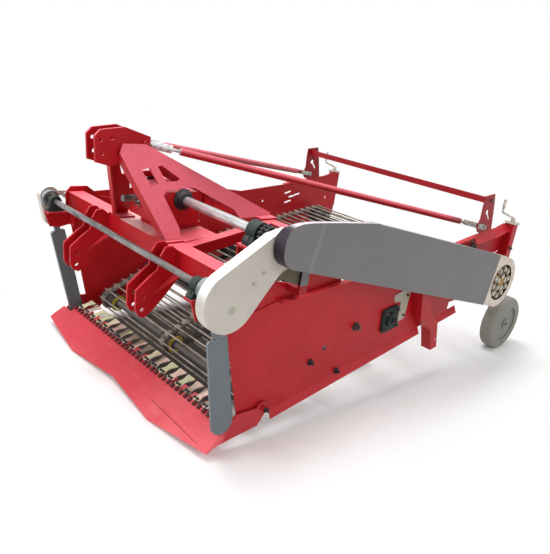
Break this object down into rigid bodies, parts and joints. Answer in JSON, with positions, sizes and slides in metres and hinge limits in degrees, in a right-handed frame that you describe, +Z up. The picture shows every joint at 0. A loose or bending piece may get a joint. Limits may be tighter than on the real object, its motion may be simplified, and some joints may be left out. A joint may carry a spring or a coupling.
{
  "type": "mounted potato digger",
  "caption": "Tractor-mounted potato digger with a shaking share, a rod chain between side panels, side drive case and two jacked rear wheels.",
  "frame": {"origin": "on the floor, at the middle of the machine's box", "axes": "+Z up, +Y to the rear, +X to the machine's left"},
  "size_m": [1.918, 3.153, 1.397],
  "materials": {
    "red_paint": "gloss paint",
    "grey_paint": "satin paint",
    "case_paint": "satin paint",
    "cover_paint": "satin paint",
    "bearing_green": "painted casting",
    "shaft_steel": "bright steel",
    "rod_steel": "worn dark steel",
    "zinc": "yellow zinc",
    "belt_rubber": "black rubber",
    "roller_plastic": "moulded plastic",
    "wheel_grey": "grey moulding"
  },
  "bodies": {
    "frame": {"left_panel": "red_paint", "right_panel": "red_paint", "main_frame": "red_paint", "headstock": "red_paint", "left_hitch": "red_paint", "right_hitch": "red_paint", "left_upright": "red_paint", "right_upright": "red_paint", "cross_bar": "red_paint", "left_stay": "red_paint", "right_stay": "red_paint", "left_corner_post": "red_paint", "right_corner_post": "red_paint", "left_crank": "zinc", "right_crank": "zinc", "left_foot": "red_paint", "right_foot": "red_paint", "gearbox": "red_paint", "cross_shaft_bearing": "bearing_green", "side_drive_case": "case_paint", "front_drive_cover": "cover_paint", "far_shaft_cover": "cover_paint", "left_eccentric_bearing": "bearing_green", "right_eccentric_bearing": "bearing_green", "chain_belts": "belt_rubber", "chain_rods": "rod_steel", "front_rollers": "roller_plastic", "return_rollers": "roller_plastic", "drive_shaft": "roller_plastic", "top_rollers": "roller_plastic", "chain_bearings": "bearing_green", "slip_clutch": "shaft_steel", "tie_tube": "red_paint", "guard_plate": "cover_paint"},
    "share": {"share": "red_paint", "share_tines": "zinc"},
    "left_arm": {"left_arm": "grey_paint"},
    "right_arm": {"right_arm": "grey_paint"},
    "eccentric_shaft": {"eccentric_shaft": "shaft_steel"},
    "cross_shaft": {"cross_shaft": "shaft_steel"},
    "input_shaft": {"input_shaft": "shaft_steel"},
    "left_leg": {"left_leg": "red_paint"},
    "right_leg": {"right_leg": "red_paint"},
    "left_wheel": {"left_wheel": "wheel_grey"},
    "right_wheel": {"right_wheel": "wheel_grey"}
  },
  "joints": [
    {"name": "share_rock", "type": "hinge", "parent": "frame", "child": "share", "pos_m": [-0.053, -1.0135, 0.168], "axis": [1, 0, 0], "range_deg": [-1, 1]},
    {"name": "left_arm_swing", "type": "hinge", "parent": "share", "child": "left_arm", "pos_m": [0.73, -1.2295, 0.105], "axis": [1, 0, 0], "range_deg": [-1, 1]},
    {"name": "right_arm_swing", "type": "hinge", "parent": "share", "child": "right_arm", "pos_m": [-0.836, -1.2295, 0.105], "axis": [1, 0, 0], "range_deg": [-1, 1]},
    {"name": "cross_shaft_spin", "type": "hinge", "parent": "frame", "child": "cross_shaft", "pos_m": [0.347, -1.1285, 1.062], "axis": [1, 0, 0], "continuous": true},
    {"name": "input_spin", "type": "hinge", "parent": "frame", "child": "input_shaft", "pos_m": [-0.053, -1.3135, 1.04], "axis": [0, 1, 0], "continuous": true},
    {"name": "eccentric_spin", "type": "hinge", "parent": "frame", "child": "eccentric_shaft", "pos_m": [-0.053, -1.4135, 0.843], "axis": [1, 0, 0], "continuous": true},
    {"name": "left_leg_slide", "type": "slide", "parent": "frame", "child": "left_leg", "axis": [0, 0, 1], "range_m": [-0.12, 0.1]},
    {"name": "right_leg_slide", "type": "slide", "parent": "frame", "child": "right_leg", "axis": [0, 0, 1], "range_m": [-0.12, 0.1]},
    {"name": "left_wheel_spin", "type": "hinge", "parent": "left_leg", "child": "left_wheel", "pos_m": [0.799, 1.3735, 0.203], "axis": [1, 0, 0], "continuous": true},
    {"name": "right_wheel_spin", "type": "hinge", "parent": "right_leg", "child": "right_wheel", "pos_m": [-0.905, 1.3735, 0.203], "axis": [1, 0, 0], "continuous": true}
  ],
  "couplings": [
    {"joint": "left_arm_swing", "follows": "share_rock", "ratio": -1},
    {"joint": "right_arm_swing", "follows": "share_rock", "ratio": -1},
    {"joint": "input_spin", "follows": "cross_shaft_spin", "ratio": 1},
    {"joint": "eccentric_spin", "follows": "cross_shaft_spin", "ratio": 1}
  ]
}
